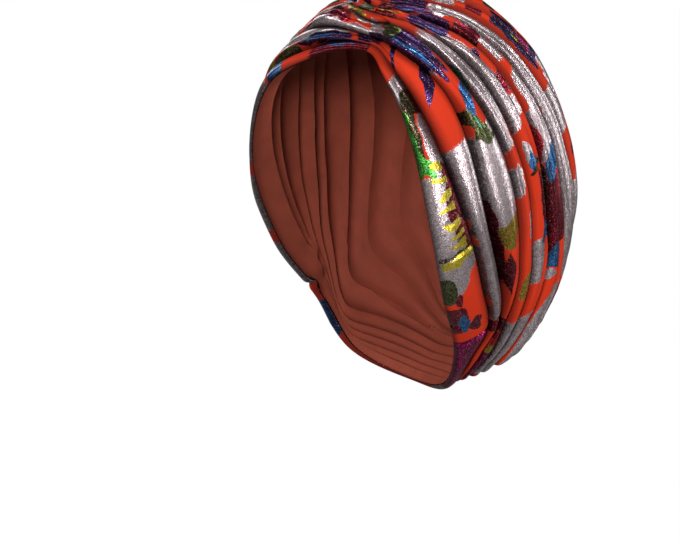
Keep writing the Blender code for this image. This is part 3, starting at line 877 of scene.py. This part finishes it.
def print_fields(half, rows):
    """The signed distance of each ink in millimetres over the grid, positive inside a patch."""
    fields = {ink: np.full(half.height.shape, -FAR) for inks in FIELD_SETS.values() for ink in inks}
    moved_along = wobble(half, "along")
    moved_up = wobble(half, "up")
    for row in rows:
        if row["side"] != half.side:
            continue
        i = NAMES.index(row["fold"])
        columns = np.flatnonzero(half.fold == i)
        width = half.width[:, i : i + 1] / 2
        a = (row["end"] - row["start"]) / 2 * ALONG
        u = half.along_mm[:, columns] - (row["start"] + row["end"]) / 2 * ALONG + moved_along[:, columns]
        drift = row["drift"] * np.clip(u / a, -DRIFT_LIMIT, DRIFT_LIMIT) / 2
        centre = (row["low"] + row["high"]) / 2 + drift
        w = (half.across[None, columns] - centre) * width + moved_up[:, columns]
        b = np.maximum((row["high"] - row["low"]) / 2 * width, LEAST_HALF_WIDTH)
        distance = patch_distance(row["shape"], u, w, a, b)
        if row["ink"] == "none":
            for field in fields.values():
                field[:, columns] = np.minimum(field[:, columns], -distance)
            continue
        field = fields[row["ink"]]
        field[:, columns] = np.maximum(field[:, columns], distance)
    return {ink: np.clip(field, -FAR, FAR) for ink, field in fields.items()}


def valley_distances(half):
    """The distance in millimetres to the nearest valley, for the painted shade; a deep valley's painted
    shade reaches further.
    """
    nearest = np.minimum(1 - half.across, 1 + half.across)[None, :] * half.width[:, half.fold] / 2
    for deep in rows_on(half.side, DEEP_COLUMNS, DEEPS):
        above = NAMES.index(deep["fold"])
        beside = (half.fold == above) & (half.across < 0) | (half.fold == above - 1) & (half.across > 0)
        reach = window(deep["start"], deep["end"], half.station, DEEP_FADE)
        nearest = nearest * (1 - DEEP_SHADE * beside[None, :] * reach)
    return nearest


def cut(half, rows, columns):
    """The part of a half between two rows and two columns, each end included, as a dictionary of grids."""
    r = slice(rows[0], rows[1] + 1)
    c = slice(columns[0], columns[1] + 1)
    made = {}
    for face, (points, normals) in half.faces.items():
        made[face] = points[r, c]
        made[f"{face}_normal"] = normals[r, c]
    made["cloth"] = np.stack([half.along_mm[r, c], half.up_mm[r, c] * half.side, half.valley_mm[r, c]], -1)
    for name, inks in FIELD_SETS.items():
        made[name] = np.stack([half.fields[ink][r, c] for ink in inks], -1)
    return made


def cut_both(halves, rows, columns):
    """The same part of the left and of the right half."""
    return [cut(halves[side], rows, columns) for side in (1, -1)]


def joined(first, second, axis):
    """Two cuts that share an edge, as one; the second is turned round so that the shared edges meet."""
    made = {}
    for name in first:
        turned = np.flip(second[name], axis=axis)
        keep = [slice(None)] * 3
        keep[axis] = slice(1, None)
        made[name] = np.concatenate([first[name], turned[tuple(keep)]], axis=axis)
    return made


def cloth_piece(name, grids, flip, materials, closed_ends=False):
    """A cloth wall between its outer and inner face, closed round its edges and welded where they meet."""
    rows, columns = grids["outer"].shape[:2]
    count = rows * columns
    index = np.arange(count).reshape(rows, columns)
    outer, inner, normal, inner_normal = (
        grids[key].reshape(-1, 3) for key in ("outer", "inner", "outer_normal", "inner_normal")
    )
    quads = np.stack([index[:-1, :-1], index[1:, :-1], index[1:, 1:], index[:-1, 1:]], -1).reshape(-1, 4)
    if flip:
        quads = quads[:, ::-1]
    if closed_ends:
        edges = [np.stack([index[:-1, 0], index[1:, 0]], 1), np.stack([index[1:, -1], index[:-1, -1]], 1)]
        edges = np.concatenate(edges)
    else:
        loop = np.concatenate([index[:, 0], index[-1, 1:], index[-2::-1, -1], index[0, -2:0:-1]])
        edges = np.stack([loop, np.roll(loop, -1)], 1)
    rim = np.stack([edges[:, 0], edges[:, 0] + count, edges[:, 1] + count, edges[:, 1]], -1)
    if flip:
        rim = rim[:, ::-1]
    points = np.concatenate([outer, inner])
    faces = np.concatenate([quads, quads[:, ::-1] + count, rim])
    _, keep, same = np.unique(np.round(points, WELD_DIGITS), axis=0, return_index=True, return_inverse=True)
    faces = same.reshape(-1)[faces]
    mesh = bpy.data.meshes.new(name)
    mesh.from_pydata((points[keep] * MM).tolist(), [], faces.tolist())
    mesh.validate(clean_customdata=False)
    normals = np.concatenate([normal, -inner_normal])[keep]
    for key in ("cloth", *FIELD_SETS):
        values = grids[key].reshape(-1, 3)
        values = np.concatenate([values, values])[keep].astype(np.float32)
        layer = mesh.attributes.new(key, "FLOAT_VECTOR", "POINT")
        layer.data.foreach_set("vector", values.ravel())
    for material in materials:
        mesh.materials.append(material)
    print_side = len(quads)
    slots = np.ones(len(mesh.polygons), np.int32)
    slots[:print_side] = 0
    slots[2 * print_side :] = 0
    mesh.polygons.foreach_set("material_index", slots)
    mesh.shade_smooth()
    mesh.normals_split_custom_set_from_vertices(normals.tolist())
    return place_object(name, mesh)


def place_object(name, data):
    """A new object in the scene."""
    made = bpy.data.objects.new(name, data)
    bpy.context.scene.collection.objects.link(made)
    return made


def node(tree, kind, inputs=None, **settings):
    """A new node; each input is a constant or the socket that feeds it."""
    made = tree.nodes.new(kind)
    for key, value in settings.items():
        setattr(made, key, value)
    feed(tree, made, inputs or {})
    return made


def feed(tree, target, inputs):
    """Set the inputs of a node to constants or to the sockets that feed them."""
    for key, value in inputs.items():
        if isinstance(value, bpy.types.NodeSocket):
            tree.links.new(value, target.inputs[key])
        else:
            target.inputs[key].default_value = value


def calc(tree, operation, *values, clamp=False):
    inputs = dict(enumerate(values))
    return node(tree, "ShaderNodeMath", inputs, operation=operation, use_clamp=clamp).outputs[0]


def vector_calc(tree, operation, inputs):
    return node(tree, "ShaderNodeVectorMath", inputs, operation=operation).outputs[0]


def blend(tree, share, low, high, kind="RGBA"):
    """A mix of two colours, or of two values or vectors."""
    first, out = MIX_SOCKETS[kind]
    inputs = {0: share, first: low, first + 1: high}
    return node(tree, "ShaderNodeMix", inputs, data_type=kind, clamp_factor=True).outputs[out]


def noise(tree, vector, name):
    scale, detail = NOISES[name]
    inputs = {"Vector": vector, "Scale": scale, "Detail": detail}
    return node(tree, "ShaderNodeTexNoise", inputs).outputs[0]


def attribute(tree, name):
    return node(tree, "ShaderNodeAttribute", attribute_name=name).outputs["Vector"]


def parts(tree, vector):
    return node(tree, "ShaderNodeSeparateXYZ", {0: vector}).outputs


def group(name, inputs, outputs):
    """A new node group with its input and output nodes. Sockets are given as name: kind."""
    tree = bpy.data.node_groups.new(name, "ShaderNodeTree")
    for key, kind in inputs.items():
        tree.interface.new_socket(key, in_out="INPUT", socket_type=f"NodeSocket{kind}")
    for key, kind in outputs.items():
        tree.interface.new_socket(key, in_out="OUTPUT", socket_type=f"NodeSocket{kind}")
    return tree, tree.nodes.new("NodeGroupInput").outputs, tree.nodes.new("NodeGroupOutput").inputs


def use(tree, shared, inputs):
    return node(tree, "ShaderNodeGroup", inputs, node_tree=shared).outputs


def knit_group():
    """The rib of a fine jersey: slanting wales in the plane of the cloth, as a height from 0 to 1."""
    tree, given, out = group("jersey_knit", {"Cloth": "Vector", "Pitch": "Float"}, {"Height": "Float"})
    x, y, _ = parts(tree, given["Cloth"])
    waves = []
    for first, slant, second in ((x, WALE_SLANT, y), (y, COURSE_SLANT, x)):
        turns = calc(tree, "DIVIDE", calc(tree, "MULTIPLY_ADD", first, slant, second), given["Pitch"])
        waves.append(calc(tree, "SINE", calc(tree, "MULTIPLY", turns, 2 * math.pi)))
    both = calc(tree, "MULTIPLY_ADD", waves[1], COURSE_SHARE, waves[0])
    tree.links.new(calc(tree, "MULTIPLY_ADD", both, KNIT_SWING, 0.5), out["Height"])
    return tree


def glitter_group():
    """Small foil flakes: a random value for each, which sets its painted brightness, rare ones for painted
    glints, and a normal tipped by each flake.
    """
    inputs = {"Cloth": "Vector", "Flakes per mm": "Float", "Tip": "Float", "Normal": "Vector"}
    outputs = {"Flake": "Float", "Glint": "Float", "Normal": "Vector"}
    tree, given, out = group("foil_glitter", inputs, outputs)
    inputs = {"Vector": given["Cloth"], "Scale": given["Flakes per mm"]}
    cells = node(tree, "ShaderNodeTexVoronoi", inputs, voronoi_dimensions="3D").outputs["Color"]
    tint = node(tree, "ShaderNodeSeparateColor", {0: cells}).outputs
    clouds = noise(tree, given["Cloth"], "clouds")
    drifted = calc(tree, "MULTIPLY_ADD", clouds, CLOUD_REACH, -CLOUD_REACH / 2)
    share = calc(tree, "ADD", tint[0], drifted, clamp=True)
    tree.links.new(calc(tree, "POWER", share, FLAKE_CONTRAST), out["Flake"])
    tree.links.new(calc(tree, "GREATER_THAN", tint[1], GLINT_ABOVE), out["Glint"])
    centred = vector_calc(tree, "SUBTRACT", {0: cells, 1: (0.5, 0.5, 0.5)})
    tipped = vector_calc(tree, "SCALE", {0: centred, "Scale": given["Tip"]})
    added = vector_calc(tree, "ADD", {0: given["Normal"], 1: tipped})
    tree.links.new(vector_calc(tree, "NORMALIZE", {0: added}), out["Normal"])
    return tree


def edge_group():
    """Where an ink covers the cloth: its distance field, roughened a little, as a mask."""
    tree, given, out = group("print_edge", {"Distance": "Float", "Rough": "Float"}, {"Mask": "Float"})
    moved = calc(tree, "ADD", given["Distance"], given["Rough"])
    tree.links.new(calc(tree, "MULTIPLY_ADD", moved, EDGE_SHARPNESS, 0.5, clamp=True), out["Mask"])
    return tree


def new_material(name):
    material = bpy.data.materials.new(name)
    material.use_nodes = True
    return material, material.node_tree, material.node_tree.nodes["Principled BSDF"]


def knitted(tree, shared, pitch, depth):
    """The cloth's own coordinates, the height of its knit, and the normal that the knit gives it."""
    cloth = attribute(tree, "cloth")
    knit = use(tree, shared["knit"], {"Cloth": cloth, "Pitch": pitch})["Height"]
    bump = node(tree, "ShaderNodeBump", {"Strength": KNIT_BUMP, "Distance": depth, "Height": knit})
    return cloth, knit, bump.outputs[0]


def print_material(shared):
    """Orange jersey with foil inks over it, placed by the distance fields on the mesh."""
    material, tree, shader = new_material("foil_print_jersey")
    cloth, knit, bumped = knitted(tree, shared, KNIT_PITCH, KNIT_DEPTH)
    uneven = noise(tree, cloth, "edge")
    rough_edge = calc(tree, "MULTIPLY_ADD", uneven, EDGE_REACH, -EDGE_REACH / 2)
    inputs = {"Cloth": cloth, "Flakes per mm": FLAKES_PER_MM, "Tip": FLAKE_TIP, "Normal": bumped}
    flakes = use(tree, shared["glitter"], inputs)
    # Painted shade: the orange darkens in the grooves of the knit.
    ridge = calc(tree, "MULTIPLY_ADD", knit, GROOVE_SHADE_CONTRAST, GROOVE_SHADE_SHIFT, clamp=True)
    colour = blend(tree, ridge, ORANGE_GROOVE_SHADE, ORANGE)
    foil = None
    for set_name, inks in FIELD_SETS.items():
        for distance, ink in zip(parts(tree, attribute(tree, set_name)), inks):
            mask = use(tree, shared["edge"], {"Distance": distance, "Rough": rough_edge})["Mask"]
            # Each ink's painted shaded copy where a flake is turned away, its painted lit copy where it
            # catches the light.
            away, lit_flake_colour = INK_SHADED_AND_LIT_COLOURS[ink]
            colour = blend(tree, mask, colour, blend(tree, flakes["Flake"], away, lit_flake_colour))
            foil = mask if foil is None else calc(tree, "MAXIMUM", foil, mask)
    # Painted glints: rare flakes on the foil turn near white.
    painted_glints = calc(tree, "MULTIPLY", calc(tree, "MULTIPLY", flakes["Glint"], foil), GLINT_SHARE)
    colour = blend(tree, painted_glints, colour, GLINT_COLOUR)
    # Painted shade: the colour darkens towards the bottom of each valley, and further beside a deep one.
    unshaded_share = calc(tree, "MULTIPLY_ADD", parts(tree, cloth)[2], VALLEY_SHADE_RISE, VALLEY_SHADE_KEEP, clamp=True)
    colour = blend(tree, calc(tree, "POWER", unshaded_share, VALLEY_SHADE_POWER), VALLEY_SHADE_COLOUR, colour)
    shine = calc(tree, "MULTIPLY_ADD", flakes["Flake"], -FLAKE_SMOOTHER, FOIL_ROUGH)
    normal = blend(tree, foil, bumped, flakes["Normal"], "VECTOR")
    metal = blend(tree, foil, 0.0, FOIL_METAL, "FLOAT")
    rough = blend(tree, foil, CLOTH_ROUGH, shine, "FLOAT")
    feed(tree, shader, {"Base Color": colour, "Metallic": metal, "Roughness": rough, "Normal": normal})
    shader.inputs["Specular IOR Level"].default_value = CLOTH_SPECULAR
    return material


def reverse_material(shared):
    """The dull reverse of the jersey, inside the wrap."""
    material, tree, shader = new_material("jersey_reverse")
    cloth, _, bumped = knitted(tree, shared, REVERSE_PITCH, REVERSE_DEPTH)
    darker = tuple(REVERSE_DARKER * value for value in REVERSE[:3]) + (1,)
    colour = blend(tree, noise(tree, cloth, "reverse"), darker, REVERSE)
    feed(tree, shader, {"Base Color": colour, "Normal": bumped, "Roughness": REVERSE_ROUGH})
    return material


def clear_scene():
    for old in list(bpy.data.objects):
        bpy.data.objects.remove(old, do_unlink=True)


def make_pieces(halves, materials):
    """The seven pieces, each in the place of its CAD node."""
    last = ROWS - 1
    gather = int(round(GATHER_END * last))
    roll = int(round(ROLL_START * last))
    valleys = (0, 1, CROWN_FIRST, len(FOLDS))
    hem, brow, crown, centre = (halves[1].first_column(valley) for valley in valleys)
    cuts = {}
    for word, side in (("left", 1), ("right", -1)):
        cuts[f"brow_band_{word}"] = cut(halves[side], (0, roll), (hem, brow))
        cuts[f"side_folds_{word}"] = cut(halves[side], (gather, roll), (brow, crown))
    left, right = cut_both(halves, (0, gather), (brow, crown))
    front = {key: np.concatenate([np.flip(left[key], axis=0), right[key][1:]], axis=0) for key in left}
    cuts["front_gather"] = front
    cuts["nape_roll"] = joined(*cut_both(halves, (roll, last), (hem, crown)), 0)
    cuts["crown_folds"] = joined(*cut_both(halves, (0, last), (crown, centre)), 1)
    pieces = {}
    for name, grids in cuts.items():
        flip = name.endswith("_right") or name == "front_gather"
        pieces[name] = cloth_piece(f"{name}_cloth", grids, flip, materials, name == "crown_folds")
    return pieces


def lamps():
    """Soft lamps round the wrap, all aimed at its middle."""
    for name, row in LIGHTS.items():
        light = dict(zip(LIGHT_COLUMNS, row))
        lamp = bpy.data.lights.new(name, "AREA")
        lamp.shape = "RECTANGLE"
        lamp.size = light["size"]
        lamp.size_y = light["height"]
        lamp.energy = light["watts"]
        lamp.color = light["colour"]
        obj = place_object(name, lamp)
        obj.location = light["place"]
        obj.rotation_euler = (Vector(AIM_AT) - obj.location).to_track_quat("-Z", "Y").to_euler()


def stage_tree(owner):
    """The owner's node tree, emptied, and a socket that is 1 for what the camera looks straight at."""
    owner.use_nodes = True
    tree = owner.node_tree
    tree.nodes.clear()
    return tree, node(tree, "ShaderNodeLightPath").outputs["Is Camera Ray"]


def backdrop():
    """A world that is white to look at and dim as a light."""
    world = bpy.data.worlds.new("studio")
    bpy.context.scene.world = world
    tree, seen = stage_tree(world)
    strength = blend(tree, seen, WORLD_LIGHT, 1.0, "FLOAT")
    white = node(tree, "ShaderNodeBackground", {"Color": WHITE, "Strength": strength})
    out = node(tree, "ShaderNodeOutputWorld")
    tree.links.new(white.outputs[0], out.inputs["Surface"])
    bpy.context.scene.view_settings.view_transform = "Standard"


def floor():
    """A plain pale floor well below the wrap, close to the white of the backdrop."""
    corners = [(x, y, FLOOR_Z) for x, y in ((-1, -1), (1, -1), (1, 1), (-1, 1))]
    corners = [(x * FLOOR_HALF, y * FLOOR_HALF, z) for x, y, z in corners]
    mesh = bpy.data.meshes.new("floor")
    mesh.from_pydata(corners, [], [(0, 1, 2, 3)])
    material = bpy.data.materials.new("pale_floor")
    tree, seen = stage_tree(material)
    dull = node(tree, "ShaderNodeBsdfDiffuse", {"Color": FLOOR_GREY})
    glow = node(tree, "ShaderNodeEmission", {"Color": WHITE, "Strength": FLOOR_WHITE})
    share = calc(tree, "MULTIPLY", seen, FLOOR_GLOW)
    mixed = node(tree, "ShaderNodeMixShader", {0: share, 1: dull.outputs[0], 2: glow.outputs[0]})
    out = node(tree, "ShaderNodeOutputMaterial")
    tree.links.new(mixed.outputs[0], out.inputs["Surface"])
    mesh.materials.append(material)
    place_object("floor", mesh)


def camera():
    """The camera at the photograph's place, angle and lens."""
    data = bpy.data.cameras.new("camera")
    data.lens = CAMERA_LENS
    data.sensor_width = CAMERA_SENSOR
    obj = place_object("camera", data)
    turn = Matrix((CAMERA_RIGHT, CAMERA_UP, CAMERA_BACK)).transposed().to_4x4()
    obj.matrix_world = Matrix.Translation(CAMERA_PLACE) @ turn
    bpy.context.scene.camera = obj


def main():
    clear_scene()
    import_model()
    camera()
    lamps()
    backdrop()
    floor()
    halves = shape_halves()
    rows = patch_rows()
    for half in halves.values():
        half.fields = print_fields(half, rows)
        half.valley_mm = valley_distances(half)
    shared = {"knit": knit_group(), "glitter": glitter_group(), "edge": edge_group()}
    materials = [print_material(shared), reverse_material(shared)]
    for name, piece in make_pieces(halves, materials).items():
        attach(piece, "root")
        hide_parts(name)


main()
